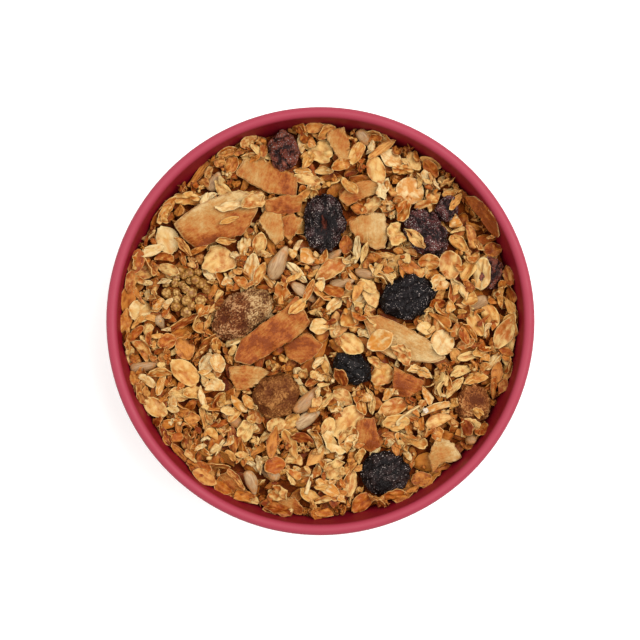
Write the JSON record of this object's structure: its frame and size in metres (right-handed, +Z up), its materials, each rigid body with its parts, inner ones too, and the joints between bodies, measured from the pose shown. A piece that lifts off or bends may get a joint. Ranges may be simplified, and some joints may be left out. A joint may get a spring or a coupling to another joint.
{
  "type": "bowl of granola",
  "caption": "Round thick-lipped ceramic bowl on a foot ring, filled to just under its rim with oat granola topped with raisins, dried mulberries and coconut chips.",
  "frame": {"origin": "centre of the foot ring, on the surface that the bowl stands on", "axes": "+Z up, +X to the right and +Y away from a viewer who sees the bowl from above as in the picture"},
  "size_m": [0.12, 0.12, 0.056],
  "materials": {
    "bowl": "satin crimson glaze",
    "granola": "toasted oat, stands in for food",
    "raisin": "dark wrinkled dried fruit, stands in for food",
    "mulberry": "brown crumbly dried fruit, stands in for food",
    "coconut_chip": "toasted coconut, stands in for food"
  },
  "bodies": {
    "root": {"bowl": "bowl", "granola": "granola", "raisin_01": "raisin", "raisin_02": "raisin", "raisin_03": "raisin", "raisin_04": "raisin", "raisin_05": "raisin", "raisin_06": "raisin", "raisin_07": "raisin", "raisin_08": "raisin", "mulberry_01": "mulberry", "mulberry_02": "mulberry", "mulberry_03": "mulberry", "coconut_chip_01": "coconut_chip", "coconut_chip_02": "coconut_chip", "coconut_chip_03": "coconut_chip", "coconut_chip_04": "coconut_chip", "coconut_chip_05": "coconut_chip", "coconut_chip_06": "coconut_chip", "coconut_chip_07": "coconut_chip", "coconut_chip_08": "coconut_chip", "coconut_chip_09": "coconut_chip", "coconut_chip_10": "coconut_chip", "coconut_chip_11": "coconut_chip", "coconut_chip_12": "coconut_chip", "coconut_chip_13": "coconut_chip", "coconut_chip_14": "coconut_chip", "coconut_chip_15": "coconut_chip", "coconut_chip_16": "coconut_chip", "coconut_chip_17": "coconut_chip", "coconut_chip_18": "coconut_chip"}
  },
  "joints": []
}
